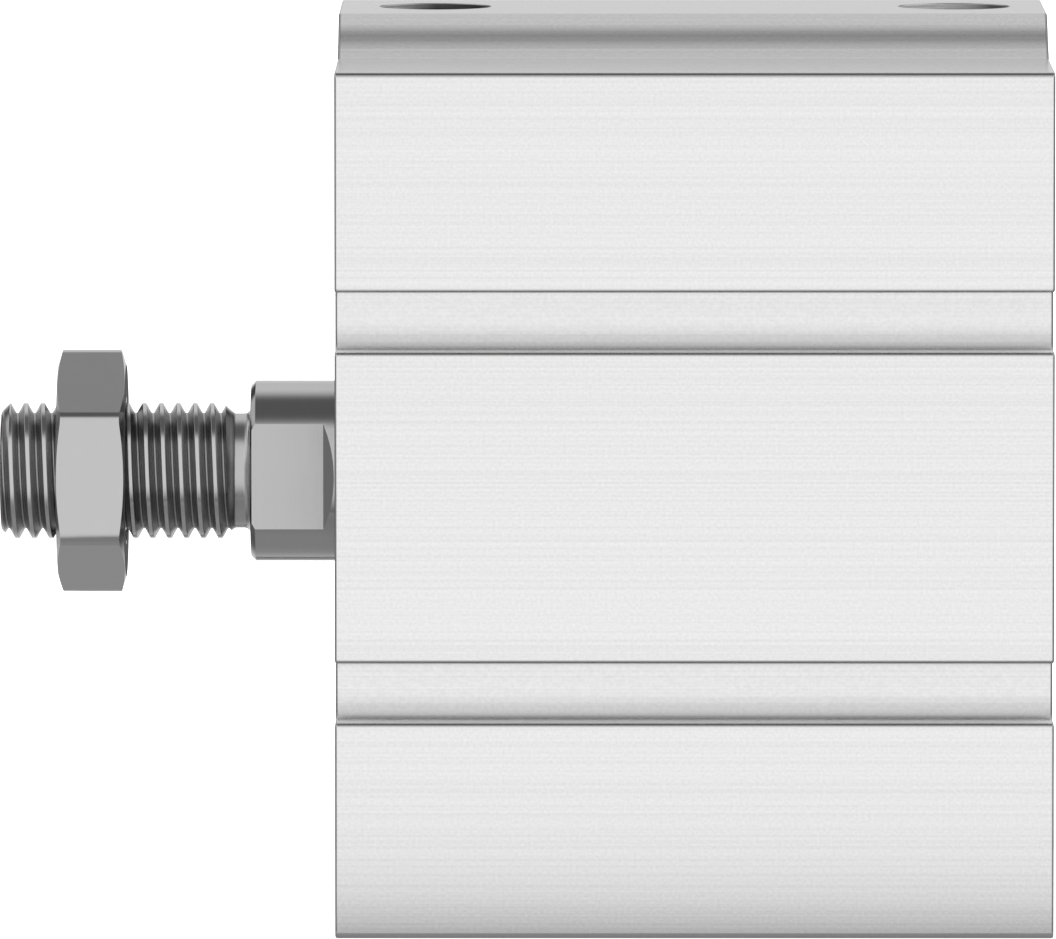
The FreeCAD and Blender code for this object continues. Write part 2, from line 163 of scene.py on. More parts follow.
def port_mask_and_painted_shade(n):
    """Mask of the inside of the two supply ports, and the painted light and shade on their bored walls."""
    x, y, z = n.split(n.coord.outputs["Object"])
    high = n.range(z, 0.0, 1.0, 0.0330, 0.0334)
    mask, painted_light_tone = None, None
    for px, steps in zip(PORT_X, PORT_PAINTED_SHADE):
        dx = n.math("SUBTRACT", x, px * MM)
        r = n.math("SQRT", n.math("ADD", n.math("MULTIPLY", dx, dx), n.math("MULTIPLY", y, y)), 0)
        one = n.math("MULTIPLY", high, n.range(r, 1.0, 0.0, 0.00488, 0.00496))
        level = n.ramp(n.range(dx, 0.0, 1.0, -0.0049, 0.0049), steps)
        level = n.math("SUBTRACT", 1.0, n.math("MULTIPLY", one, n.math("SUBTRACT", 1.0, level)))
        mask = one if mask is None else n.math("MAXIMUM", mask, one)
        painted_light_tone = level if painted_light_tone is None else n.math("MULTIPLY", painted_light_tone, level)
    return mask, painted_light_tone


def painted_top_light(n):
    """Painted light on the top: the two flat levels, shoulders and rail, are brightened, and painted shade darkens
    the crease at the foot of the hump.
    """
    x, y, z = n.split(n.coord.outputs["Object"])
    shoulder = n.math("MULTIPLY", n.range(z, 0.0, 1.0, 0.03755, 0.03760), n.range(z, 1.0, 0.0, 0.03763, 0.03766))
    rail = n.range(z, 0.0, 1.0, 0.04116, 0.04119)
    nx, ny, nz = n.split(n.coord.outputs["Normal"])
    painted_crease_shade = n.math("MULTIPLY", n.range(nz, 0.0, 1.0, 0.900, 0.925), n.range(nz, 1.0, 0.0, 0.990, 0.998))
    painted_crease_shade = n.math("MULTIPLY", painted_crease_shade, n.math("MULTIPLY", n.range(z, 0.0, 0.14, 0.0375, 0.0376), n.range(z, 1.0, 0.0, 0.03768, 0.03775)))
    painted_flat_light = n.math("ADD", n.math("MULTIPLY", shoulder, 0.18), n.math("MULTIPLY", rail, 0.06))
    return n.math("ADD", 1.0, n.math("SUBTRACT", painted_flat_light, painted_crease_shade))


def painted_groove_light(n):
    """Painted shade and light inside the sensor grooves: painted shade darkens the floor towards its lower corner, a
    painted highlight makes the lower lip paler, and the lower corner is painted lighter.
    """
    x, y, z = n.split(n.coord.outputs["Object"])
    depth = n.math("ABSOLUTE", y, 0)
    inside = n.math("MULTIPLY", n.range(depth, 1.0, 0.0, 0.0342, 0.0344), n.range(depth, 0.0, 1.0, 0.0315, 0.0318))
    lip = n.math("MULTIPLY", n.range(depth, 0.0, 1.0, 0.0344, 0.0346), n.range(depth, 1.0, 0.0, 0.0369, 0.0371))
    total = None
    for zc in (15.98, -16.19):
        t = n.math("SUBTRACT", z, zc * MM)
        # painted shade on the floor towards its lower corner
        floor = n.ramp(n.range(t, 0.0, 1.0, -0.0034, 0.0034), [((q + 3.4) / 6.8, v) for q, v in
                       ((-3.3, 0.0), (-2.62, 0.0), (-2.5, 0.10), (-2.38, 0.28), (-2.26, 0.36), (-1.9, 0.27), (-1.2, 0.09), (-0.4, 0.0))])
        shade = n.math("MULTIPLY", inside, floor)
        # painted highlight on the lower lip
        painted_edge_tone = n.math("MULTIPLY", lip, n.range(n.math("ABSOLUTE", n.math("ADD", t, 0.0026), 0), 0.65, 0.0, 0.00005, 0.0001))
        # painted light in the lower corner
        corner = n.math("MULTIPLY", n.range(t, 0.0, 1.0, -0.0036, -0.0035), n.range(t, 0.6, 0.0, -0.00274, -0.00266))
        corner = n.math("MULTIPLY", inside, corner)
        both = n.math("ADD", corner, n.math("SUBTRACT", painted_edge_tone, shade))
        total = both if total is None else n.math("ADD", total, both)
    return n.math("ADD", 1.0, total)


def groove_lip(n):
    """1 on the upper face of each groove's lower lip."""
    x, y, z = n.split(n.coord.outputs["Object"])
    depth = n.math("ABSOLUTE", y, 0)
    lip = n.math("MULTIPLY", n.range(depth, 0.0, 1.0, 0.0344, 0.0346), n.range(depth, 1.0, 0.0, 0.0369, 0.0371))
    near = None
    for zc in (15.98, -16.19):
        one = n.range(n.math("ABSOLUTE", n.math("SUBTRACT", z, (zc - 2.6) * MM), 0), 1.0, 0.0, 0.00005, 0.0001)
        near = one if near is None else n.math("MAXIMUM", near, one)
    return n.math("MULTIPLY", lip, near)


def anodised(name, rgb, rough=0.25):
    """Satin anodised extrusion: fine drawing lines along X over a fine matt grain, with painted shade on the edges
    and in the ports and painted light and shade on the top and in the grooves.
    """
    n = Net(name)
    lines = n.noise(4300, 1, 0.5, (0.0007, 1, 1))
    broad = n.noise(150, 2, 0.5, (0.02, 1, 1))
    grain = n.noise(3600, 1, 0.5)
    colour = n.ramp(lines, [(0.22, tint(rgb, 0.937)), (0.50, tint(rgb, 1.0)), (0.78, tint(rgb, 1.033))])
    cloud = n.math("ADD", n.range(grain, -0.034, 0.034, 0.3, 0.7), n.range(broad, 0.990, 1.010, 0.3, 0.7))
    colour = n.shade(colour, cloud)
    painted_edge_tone = painted_edge_shade_mask(n)
    bore, port_painted_light_shade = port_mask_and_painted_shade(n)
    # painted shade and light scaling the colour: edges, ports, top and grooves
    painted_light_and_shade = n.math("MULTIPLY", n.range(painted_edge_tone, 1.0, 0.61), port_painted_light_shade)
    painted_light_and_shade = n.math("MULTIPLY", painted_light_and_shade, n.math("MULTIPLY", painted_top_light(n), painted_groove_light(n)))
    n.link(n.shade(colour, painted_light_and_shade), n.bsdf.inputs["Base Color"])
    gloss = n.range(broad, rough - 0.015, rough + 0.015, 0.3, 0.7)
    n.link(n.math("ADD", gloss, n.math("MULTIPLY", n.math("MAXIMUM", groove_lip(n), bore), 0.3)), n.bsdf.inputs["Roughness"])
    n.bump(lines, 0.05, 0.00001)
    n.set(Metallic=1.0)
    n.bsdf.inputs["Specular Tint"].default_value = (0.86, 0.86, 0.86, 1)
    return n.mat


def turned(name, rgb, rough, lines=1.0, spread=0.05, milled=None, threaded=None):
    """Turned metal: fine rings about X, faint handling variation. Flats at +-milled mm across Y are duller, and the
    cut thread below X = threaded mm carries painted shade in its roots and painted light on its crests, the
    undercut's fillet and the flats' run-out.
    """
    n = Net(name)
    rings = n.noise(5200, 3, 0.6, (1, 0.03, 0.03))
    blot = n.noise(180, 3, 0.55)
    mix = n.math("ADD", n.math("MULTIPLY", rings, 0.6), n.math("MULTIPLY", blot, 0.4))
    colour = n.ramp(mix, [(0.3, tint(rgb, 1 - spread)), (0.5, rgb), (0.7, tint(rgb, 1 + spread))])
    gloss = n.range(mix, rough - 0.04, rough + 0.05, 0.3, 0.7)
    if milled:
        nx, ny, nz = n.split(n.coord.outputs["Normal"])
        x, y, z = n.split(n.coord.outputs["Object"])
        flat = n.math("MULTIPLY", n.range(n.math("ABSOLUTE", ny, 0), 0.0, 1.0, 0.997, 0.9995),
                      n.range(n.math("ABSOLUTE", n.math("SUBTRACT", n.math("ABSOLUTE", y, 0), milled * MM), 0), 1.0, 0.0, 0.00002, 0.00006))
        gloss = n.math("ADD", gloss, n.math("MULTIPLY", flat, 0.09))
    if threaded:
        x, y, z = n.split(n.coord.outputs["Object"])
        gloss = n.math("ADD", gloss, n.range(x, 0.10, 0.0, (threaded - 0.02) * MM, (threaded + 0.02) * MM))
        # less rough crests with a painted highlight, painted shade in the roots, and the whole cut thread painted a
        # little brighter
        r = n.math("SQRT", n.math("ADD", n.math("MULTIPLY", y, y), n.math("MULTIPLY", z, z)), 0)
        cut = n.range(x, 1.0, 0.0, (threaded - 1.5) * MM, (threaded - 1.3) * MM)
        crest = n.math("MULTIPLY", cut, n.range(r, 0.0, 1.0, 0.00590, 0.00599))
        painted_root_shade = n.math("MULTIPLY", cut, n.range(r, 1.0, 0.0, 0.00518, 0.00530))
        gloss = n.math("SUBTRACT", gloss, n.math("MULTIPLY", crest, 0.08))
        painted_light_tone = n.math("ADD", n.math("ADD", 1.0, n.math("MULTIPLY", cut, 0.07)), n.math("SUBTRACT", n.math("MULTIPLY", crest, 0.03), n.math("MULTIPLY", painted_root_shade, 0.44)))
        # painted light on the steep faces turned to the tip: the undercut's fillet and the run-out of the flats
        nx, ny, nz = n.split(n.coord.outputs["Normal"])
        steep = n.range(nx, 1.0, 0.0, -0.80, -0.45)
        painted_runout_light = n.math("MULTIPLY", steep, n.range(x, 0.0, 0.67, -0.00170, -0.00160))
        painted_fillet_light = n.math("MULTIPLY", n.math("MULTIPLY", steep, n.range(x, 0.0, 0.9, -0.00865, -0.00855)),
                        n.math("MULTIPLY", n.range(x, 1.0, 0.0, -0.00790, -0.00780), n.range(r, 1.0, 0.0, 0.00575, 0.00590)))
        painted_light_tone = n.math("ADD", painted_light_tone, n.math("ADD", painted_runout_light, painted_fillet_light))
        colour = n.shade(colour, painted_light_tone)
    n.link(colour, n.bsdf.inputs["Base Color"])
    n.link(gloss, n.bsdf.inputs["Roughness"])
    n.bump(rings, 0.06 * lines, 0.00001)
    n.set(Metallic=1.0)
    return n.mat


def plated(name, rgb, rough, x0, x1):
    """Bright zinc plate: a faint cloudy grain. The faced ends at x0 and x1 mm are duller, and the second carries
    painted shade.
    """
    n = Net(name)
    grain = n.noise(900, 4, 0.6)
    fine = n.noise(4200, 2, 0.5)
    mix = n.math("ADD", n.math("MULTIPLY", grain, 0.6), n.math("MULTIPLY", fine, 0.4))
    x, y, z = n.split(n.coord.outputs["Object"])
    off = n.math("ABSOLUTE", n.math("SUBTRACT", x, 0.5 * (x0 + x1) * MM), 0)
    half = 0.5 * (x1 - x0) * MM
    painted_face_shade = n.range(x, 1.0, 0.5, (x1 - 0.03) * MM, (x1 - 0.01) * MM)
    plate = n.ramp(mix, [(0.3, tint(rgb, 0.985)), (0.5, rgb), (0.7, tint(rgb, 1.015))])
    n.link(n.shade(plate, painted_face_shade), n.bsdf.inputs["Base Color"])
    gloss = n.range(mix, rough - 0.02, rough + 0.03, 0.3, 0.7)
    gloss = n.math("ADD", gloss, n.range(x, 0.0, 0.22, (x1 - 0.03) * MM, (x1 - 0.01) * MM))
    n.link(n.math("ADD", gloss, n.range(off, 0.0, 0.28, half - 0.00003, half - 0.00001)), n.bsdf.inputs["Roughness"])
    n.bump(mix, 0.02, 0.00001)
    n.set(Metallic=1.0)
    return n.mat


def dark_steel(name, rgb, rough):
    """Phosphated spring steel: grainy, oiled, worn paler on the high spots."""
    n = Net(name)
    grain = n.noise(2600, 5, 0.65)
    wear = n.noise(140, 4, 0.6)
    mix = n.math("ADD", n.math("MULTIPLY", grain, 0.65), n.math("MULTIPLY", wear, 0.35))
    n.link(n.ramp(mix, [(0.3, tint(rgb, 0.7)), (0.5, rgb), (0.62, tint(rgb, 1.3)), (0.75, tint(rgb, 2.1))]), n.bsdf.inputs["Base Color"])
    n.link(n.range(mix, rough + 0.1, rough - 0.08, 0.3, 0.7), n.bsdf.inputs["Roughness"])
    n.bump(grain, 0.15, 0.00002)
    n.set(Metallic=0.85)
    return n.mat


def moulded(name, rgb, rough, metallic=0.0, gloss=0.4):
    """Rubber or plastic: fine pebble grain with faint dusty patches."""
    n = Net(name)
    pebble = n.noise(3400, 3, 0.6)
    dust = n.noise(220, 4, 0.6)
    mix = n.math("ADD", n.math("MULTIPLY", pebble, 0.5), n.math("MULTIPLY", dust, 0.5))
    n.link(n.ramp(mix, [(0.3, tint(rgb, 0.8)), (0.5, rgb), (0.72, tint(rgb, 1.5))]), n.bsdf.inputs["Base Color"])
    n.link(n.range(mix, rough - 0.07, rough + 0.1, 0.3, 0.7), n.bsdf.inputs["Roughness"])
    n.bump(pebble, 0.2, 0.00002)
    n.set(Metallic=metallic)
    n.bsdf.inputs["Specular IOR Level"].default_value = gloss
    return n.mat


def bronze(name, rgb, rough):
    """Sintered bronze: open pores and oil-dark patches."""
    n = Net(name)
    pores = n.noise(5200, 4, 0.7)
    oil = n.noise(300, 3, 0.5)
    mix = n.math("ADD", n.math("MULTIPLY", pores, 0.6), n.math("MULTIPLY", oil, 0.4))
    n.link(n.ramp(mix, [(0.32, tint(rgb, 0.55)), (0.5, rgb), (0.7, tint(rgb, 1.2))]), n.bsdf.inputs["Base Color"])
    n.link(n.range(mix, rough - 0.06, rough + 0.1, 0.3, 0.7), n.bsdf.inputs["Roughness"])
    n.bump(pores, 0.2, 0.00002)
    n.set(Metallic=1.0)
    return n.mat


MAT = {
    "body_aluminium": anodised("body_anodised", (0.588, 0.588, 0.588)),
    "cap_aluminium": turned("cap_turned", (0.56, 0.562, 0.565), 0.30),
    "piston_aluminium": turned("piston_turned", (0.54, 0.542, 0.545), 0.32),
    "rod_steel": turned("rod_polished", (0.358, 0.358, 0.358), 0.13, 0.3, 0.02, 6.5, -7.93),
    "nut_steel": plated("nut_plated", (0.377, 0.377, 0.377), 0.15, -25.03, -19.01),
    "clip_steel": dark_steel("clip_phosphated", (0.075, 0.075, 0.08), 0.42),
    "screw_steel": dark_steel("screw_blackened", (0.09, 0.09, 0.095), 0.38),
    "bush_bronze": bronze("bush_sintered", (0.55, 0.42, 0.24), 0.40),
    "seal_rubber": moulded("seal_nitrile", (0.022, 0.022, 0.024), 0.62),
    "wiper_polyurethane": moulded("wiper_pu", (0.035, 0.04, 0.05), 0.48),
    "bumper_polyurethane": moulded("bumper_pu", (0.06, 0.06, 0.06), 0.52),
    "magnet_ferrite": moulded("magnet_ferrite", (0.07, 0.066, 0.066), 0.60),
    "guide_polymer": moulded("guide_acetal", (0.14, 0.14, 0.13), 0.45),
}

slot_of = {s["node"]: s["material_slot"] for s in frame["record"]["subparts"]}


def dress(o, slot):
    o.data.materials.clear()
    o.data.materials.append(MAT[slot])


for name, o in nodes.items():
    dress(o, slot_of[name])


# --------------------------------------------------------------------- meshes
def finish_mesh(bm, name, sharp_deg=28.0):
    bmesh.ops.remove_doubles(bm, verts=bm.verts, dist=1e-8)
    bmesh.ops.recalc_face_normals(bm, faces=bm.faces)
    me = bpy.data.meshes.new(name)
    bm.to_mesh(me)
    bm.free()
    for p in me.polygons:
        p.use_smooth = True
    me.set_sharp_from_angle(angle=math.radians(sharp_deg))
    o = bpy.data.objects.new(name, me)
    scene.collection.objects.link(o)
    return o


def grid_mesh(rows, columns):
    """Closed skin from rows of (x, r) given per column angle. Rows are functions of the angle."""
    bm = bmesh.new()
    table = []
    for row in rows:
        line = []
        for j in range(columns + 1):
            a = 2 * math.pi * j / columns
            x, r = row(a)
            k = 0.0 if j == columns else a
            line.append(bm.verts.new((x * MM, r * math.cos(k) * MM, r * math.sin(k) * MM)))
        table.append(line)
    for a, b in zip(table, table[1:]):
        for j in range(columns):
            bm.faces.new((a[j], a[j + 1], b[j + 1], b[j]))
    bmesh.ops.remove_doubles(bm, verts=bm.verts, dist=2e-8)
    bmesh.ops.dissolve_degenerate(bm, edges=bm.edges, dist=1e-8)
    return bm


def arc(cx, cr, rad, a0, a1, n):
    """Profile points on a circle, angles in degrees from +x towards +r."""
    pts = []
    for i in range(n + 1):
        a = math.radians(a0 + (a1 - a0) * i / n)
        pts.append((cx + rad * math.cos(a), cr + rad * math.sin(a)))
    return pts


# piston rod with a helical thread
PITCH = 1.5
CREST_TOP = -17.41
TIP = -30.1
CREST_R = 6.0
UNDERCUT_R = 5.08
SHOULDER = -7.95

# half of one turn: offset from the crest, radius
half_turn = [
    (0.0, 6.0), (0.118, 6.0), (0.153, 5.998), (0.178, 5.987), (0.20, 5.962), (0.26, 5.853), (0.345, 5.70), (0.43, 5.546),
    (0.52, 5.383), (0.60, 5.238), (0.63, 5.188), (0.655, 5.156), (0.68, 5.139), (0.71, 5.131), (0.75, 5.13),
]
one_turn = half_turn[:-1] + [(PITCH - u, r) for u, r in reversed(half_turn)][:-1]

# the threaded bar runs past both ends and is then trimmed by the turned outline
BAR_L, BAR_R = TIP - 0.5, -9.15


def bar_row(s, r0):
    def row(a):
        x = s + PITCH * a / (2 * math.pi)
        if x <= BAR_L:
            return BAR_L, 5.0
        if x >= BAR_R:
            return BAR_R, 6.2
        return x, r0
    return row


def plain_row(x, r):
    return lambda a: (x, r)


start = CREST_TOP - PITCH / 4
while start > BAR_L - PITCH:
    start -= PITCH
stations = []
s = start
while s < BAR_R + PITCH:
    stations += [(s + u, r) for u, r in one_turn]
    s += PITCH
rows = [plain_row(*q) for q in ((BAR_L, 0.0), (BAR_L, 2.5), (BAR_L, 5.0))]
rows += [bar_row(s, r) for s, r in stations]
rows += [plain_row(*q) for q in ((BAR_R, 6.2), (BAR_R, 9.0), (47.0, 9.0), (47.0, 0.0))]
rod = finish_mesh(grid_mesh(rows, 144), "rod_shaft")

outline = (
    [(TIP, 0.0), (TIP, 2.5), (TIP, 4.6)]
    + arc(TIP + 0.5, 4.993, 0.5, 180, 135, 8)
    + [(TIP + 0.90, 6.1), (-25.0, 6.1), (-18.0, 6.1), (-10.603, 6.1)]
    + arc(-9.26, 5.43, 0.35, 230, 270, 7)
    + [(-8.60, UNDERCUT_R)]
    + arc(-8.60, UNDERCUT_R + 0.65, 0.65, -90, 0, 12)
    + [(SHOULDER, 7.3)]
    + arc(SHOULDER + 0.2, 7.477, 0.2, 180, 135, 5)
    + arc(-7.481, 7.93, 0.07, 135, 90, 3)
    + [(x, 8.0) for x in (-6.0, -4.0, -2.0, -1.0, 0.0, 4.0, 10.0, 20.0, 30.0)]
    + arc(40.0, 7.8, 0.2, 90, 0, 4)
    + [(40.2, 6.4), (40.2, 6.0), (43.0, 6.0)]
    + arc(45.6, 5.6, 0.4, 90, 0, 4)
    + [(46.0, 4.05), (36.0, 4.05), (24.0, 4.05), (23.0, 0.0)]
)
turning = finish_mesh(grid_mesh([plain_row(*q) for q in outline], 180), "rod_turning")


def prism(points, z0, z1, name):
    bm = bmesh.new()
    low = [bm.verts.new((x * MM, y * MM, z0 * MM)) for x, y in points]
    high = [bm.verts.new((x * MM, y * MM, z1 * MM)) for x, y in points]
    n = len(points)
    bm.faces.new(list(reversed(low)))
    bm.faces.new(high)
    for i in range(n):
        bm.faces.new((low[i], low[(i + 1) % n], high[(i + 1) % n], high[i]))
    return finish_mesh(bm, name)


def boolean(target, cutters, operation="DIFFERENCE", sharp_deg=28.0):
    for c in cutters:
        m = target.modifiers.new("cut", "BOOLEAN")
        m.operation = operation
        m.solver = "EXACT"
        m.object = c
    bpy.context.view_layer.update()
    dg = bpy.context.evaluated_depsgraph_get()
    me = bpy.data.meshes.new_from_object(target.evaluated_get(dg))
    old = target.data
    target.modifiers.clear()
    target.data = me
    bpy.data.meshes.remove(old)
    for c in cutters:
        bpy.data.objects.remove(c)
    for p in me.polygons:
        p.use_smooth = True
    me.set_sharp_from_angle(angle=math.radians(sharp_deg))
    return target


boolean(rod, [turning], "INTERSECT")
FLAT, FLAT_END, RUNOUT = 6.5, -1.48, 0.96
cutters = []
for sgn in (1, -1):
    d = 2.5
    pts = [(SHOULDER - 0.3, sgn * (FLAT - 0.44)), (SHOULDER + 0.14, sgn * FLAT), (FLAT_END, sgn * FLAT),
           (FLAT_END + RUNOUT / 1.5 * d, sgn * (FLAT + d)), (SHOULDER - 0.3, sgn * (FLAT + d))]
    cutters.append(prism(pts, -12, 12, "flat_%d" % (sgn + 1)))
boolean(rod, cutters)
dress(rod, "rod_steel")
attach(rod, "rod")
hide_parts("piston_rod")


# helical ridges: the female threads
def ridge(name, origin, axis, ref, wall_r, crest_r, pitch, z0, z1, base_half, crest_half, steps=36, phase=0.0, lead=0.35):
    """Closed helical rib inside a hole. origin and axis in mm, z along the axis, tapering away at both ends."""
    axis = Vector(axis).normalized()
    e1 = Vector(ref).normalized()
    e2 = axis.cross(e1)
    turns = (z1 - z0) / pitch
    n = max(8, int(turns * steps))
    bm = bmesh.new()
    rings = []
    for i in range(n + 1):
        t = i / n
        a = 2 * math.pi * turns * t + phase
        z = z0 + (z1 - z0) * t
        fade = min(1.0, (t * turns) / lead, ((1 - t) * turns) / lead)
        fade = max(0.02, fade)
        top = wall_r - (wall_r - crest_r) * fade
        bh = base_half * (0.3 + 0.7 * fade)
        ch = crest_half * fade
        mid_r = 0.5 * (wall_r + top)
        sec = [
            (wall_r + 0.04, -bh), (wall_r - 0.02 * fade, -bh * 0.98), (mid_r, -(0.5 * (bh + ch))), (top + 0.02 * fade, -ch * 1.1), (top, -ch * 0.6),
            (top, ch * 0.6), (top + 0.02 * fade, ch * 1.1), (mid_r, 0.5 * (bh + ch)), (wall_r - 0.02 * fade, bh * 0.98), (wall_r + 0.04, bh),
        ]
        ring = []
        for r, dz in sec:
            p = Vector(origin) + axis * (z + dz) + (e1 * math.cos(a) + e2 * math.sin(a)) * r
            ring.append(bm.verts.new(p * MM))
        rings.append(ring)
    m = len(rings[0])
    for a, b in zip(rings, rings[1:]):
        for k in range(m):
            bm.faces.new((a[k], a[(k + 1) % m], b[(k + 1) % m], b[k]))
    bm.faces.new(list(reversed(rings[0])))
    bm.faces.new(rings[-1])
    return finish_mesh(bm, name, 40.0)


def body_piece(o, slot, body):
    dress(o, slot)
    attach(o, body)
    return o


for tag, px in zip(("front", "rear"), PORT_X):
    body_piece(ridge("port_thread_" + tag, (px, 0, 34.0), (0, 0, 1), (1, 0, 0), 4.864, 4.30, 0.907, 0.7, 6.9, 0.40, 0.10), "body_aluminium", "barrel")
for tag, x, ax in (("front", 0.0, (1, 0, 0)), ("rear", BODY_L, (-1, 0, 0))):
    for iy, y in (("r", 28.25), ("l", -28.25)):
        for iz, z in (("u", 28.25), ("d", -28.25)):
            body_piece(ridge("fix_thread_%s_%s%s" % (tag, iz, iy), (x, y, z), ax, (0, 1, 0), 4.0, 3.45, 1.25, 0.5, 15.4, 0.55, 0.12), "body_aluminium", "barrel")

# hexagon nut: rounded hexagon cut by a turned double cone with a countersunk bore
NUT_X0, NUT_X1 = -25.03, -19.01
NUT_AF, NUT_EDGE, NUT_TURN_R, NUT_BORE = 19.0, 1.5, 9.42, 6.05
corner = NUT_AF / math.sqrt(3)
hexagon = []
for k in range(6):
    a = math.radians(60 * k + 90)
    centre = (corner - NUT_EDGE / math.cos(math.radians(30)))
    for i in range(16):
        b = a + math.radians(-30 + 4 * i)
        hexagon.append((centre * math.cos(a) + NUT_EDGE * math.cos(b), centre * math.sin(a) + NUT_EDGE * math.sin(b)))
bm = bmesh.new()
ends = []
for x in (NUT_X0 - 0.5, NUT_X1 + 0.5):
    ends.append([bm.verts.new((x * MM, y * MM, z * MM)) for y, z in hexagon])
for i in range(len(hexagon)):
    j = (i + 1) % len(hexagon)
    bm.faces.new((ends[0][i], ends[0][j], ends[1][j], ends[1][i]))
bm.faces.new(list(reversed(ends[0])))
bm.faces.new(ends[1])
nut = finish_mesh(bm, "hexagon_nut")
k = math.tan(math.radians(17.0))
ring = [
    (NUT_X0, NUT_BORE + 0.5), (NUT_X0, NUT_TURN_R - 0.06), (NUT_X0 + 0.02, NUT_TURN_R), (NUT_X0 + (14 - NUT_TURN_R) * k, 14.0),
    (NUT_X1 - (14 - NUT_TURN_R) * k, 14.0), (NUT_X1 - 0.02, NUT_TURN_R), (NUT_X1, NUT_TURN_R - 0.06), (NUT_X1, NUT_BORE + 0.5),
    (NUT_X1 - 0.5, NUT_BORE), (NUT_X0 + 0.5, NUT_BORE), (NUT_X0, NUT_BORE + 0.5),
]
turned_ring = finish_mesh(grid_mesh([plain_row(*q) for q in ring], 240), "nut_turning")
boolean(nut, [turned_ring], "INTERSECT", 14.0)
wn = nut.modifiers.new("normals", "WEIGHTED_NORMAL")
wn.keep_sharp = True
dress(nut, "nut_steel")
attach(nut, "nut")
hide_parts("hex_nut")

# nut thread, in step with the rod's
x_first = CREST_TOP - 4.75 * PITCH
body_piece(ridge("nut_thread", (0, 0, 0), (1, 0, 0), (0, 1, 0), 6.05, 5.42, PITCH, x_first, x_first + 3.4 * PITCH, 0.50, 0.10, 48, lead=0.7), "nut_steel", "nut")

# ----------------------------------------------------------------------- stage
bpy.ops.mesh.primitive_plane_add(size=1.0, location=(0, 0, 0))
floor = bpy.context.active_object
floor.name = "floor"
floor.scale = (12, 12, 1)
floor.location = (0.0, 2.0, -0.0376)
fm = bpy.data.materials.new("floor_white")
fm.use_nodes = True
fb = fm.node_tree.nodes["Principled BSDF"]
fb.inputs["Base Color"].default_value = (0.86, 0.86, 0.86, 1)
fb.inputs["Roughness"].default_value = 0.9
fb.inputs["Specular IOR Level"].default_value = 0.0
fb.inputs["Emission Color"].default_value = (1, 1, 1, 1)
fb.inputs["Emission Strength"].default_value = 1.0
floor.data.materials.append(fm)
floor.visible_glossy = False
floor.visible_diffuse = False
floor.visible_transmission = False
floor.visible_shadow = False

# graded cards before and behind the foot, seen only in reflections: their glow is painted shade, dark against the
# body like a contact shadow, bright further off
CARD = [(-2.0, 0.32), (0.8, 0.34), (3.5, 0.45), (12.0, 0.69), (21.0, 0.93), (32.0, 1.12), (42.0, 1.25), (58.0, 1.35), (75.0, 1.40)]


def card(name, side, level):
    d0, d1 = CARD[0][0], CARD[-1][0]
    me = bpy.data.meshes.new(name)
    ys = (side * (37.5 + d0), side * (37.5 + d1))
    z = -37.56
    me.from_pydata([(-25 * MM, ys[0] * MM, z * MM), ((BODY_L + 25) * MM, ys[0] * MM, z * MM), ((BODY_L + 25) * MM, ys[1] * MM, z * MM), (-25 * MM, ys[1] * MM, z * MM)], [], [(0, 1, 2, 3)])
    o = bpy.data.objects.new(name, me)
    scene.collection.objects.link(o)
    n = Net(name)
    x, y, z = n.split(n.coord.outputs["Object"])
    far = n.range(n.math("ABSOLUTE", y, 0), 0.0, 1.0, (37.5 + d0) * MM, (37.5 + d1) * MM)
    glow = n.ramp(far, [((d - d0) / (d1 - d0), v * level) for d, v in CARD])
    n.link(glow, n.bsdf.inputs["Emission Color"])
    n.set(Base_Color=(0.0, 0.0, 0.0, 1), Roughness=1.0, Emission_Strength=1.0)
    n.bsdf.inputs["Specular IOR Level"].default_value = 0.0
    me.materials.append(n.mat)
    o.visible_camera = False
    o.visible_shadow = False


card("card_front", -1, 1.0)
card("card_back", 1, 0.6)

# soft studio surround: long bright panels before and behind, a dark gap overhead
PROFILE = [
    (-180, 0.60), (-172, 0.60), (-158, 0.58), (-146, 0.56), (-138, 0.53), (-124, 0.39), (-109, 0.365), (-90, 0.385), (-74, 0.34), (-60, 0.32), (-50, 0.42),
    (-40, 0.82), (-30, 0.97), (0, 0.99), (40, 0.99), (60, 0.94), (66, 0.63), (70, 0.34), (76, 0.175), (82, 0.15), (102, 0.15), (108, 0.17),
    (113, 0.28), (119, 0.54), (126, 0.78), (133, 0.86), (148, 0.72), (158, 0.65), (168, 0.62),
]
# towards both ends of the rod axis, by y from the camera's side to the far side
ENDS = [(-1.0, 0.7), (-0.7, 0.5), (-0.5, 0.37), (-0.2, 0.36), (0.0, 0.265), (0.3, 0.16), (0.5, 0.11), (0.68, 0.14), (0.83, 0.24), (1.0, 0.42)]
# the same, by height
ENDZ = [(-1.0, 1.3), (-0.46, 1.15), (-0.34, 1.0), (0.2, 1.0), (0.38, 1.8), (0.55, 2.3), (0.70, 2.7), (1.0, 2.8)]
LAMPS = [(Vector((-0.757, 0.481, 0.442)).normalized(), 0.42), (Vector((0.757, 0.481, 0.442)).normalized(), 0.4)]
FLAGS = [Vector((-0.42, 0.852, 0.31)).normalized(), Vector((0.42, 0.852, 0.31)).normalized()]
world = bpy.data.worlds.new("studio")
scene.world = world
world.use_nodes = True
wt = world.node_tree
wt.nodes.clear()
w_out = wt.nodes.new("ShaderNodeOutputWorld")
w_bg = wt.nodes.new("ShaderNodeBackground")
w_tc = wt.nodes.new("ShaderNodeTexCoord")
w_sep = wt.nodes.new("ShaderNodeSeparateXYZ")
w_neg = wt.nodes.new("ShaderNodeMath")
w_neg.operation = "MULTIPLY"
w_neg.inputs[1].default_value = -1.0
w_atan = wt.nodes.new("ShaderNodeMath")
w_atan.operation = "ARCTAN2"
w_map = wt.nodes.new("ShaderNodeMapRange")
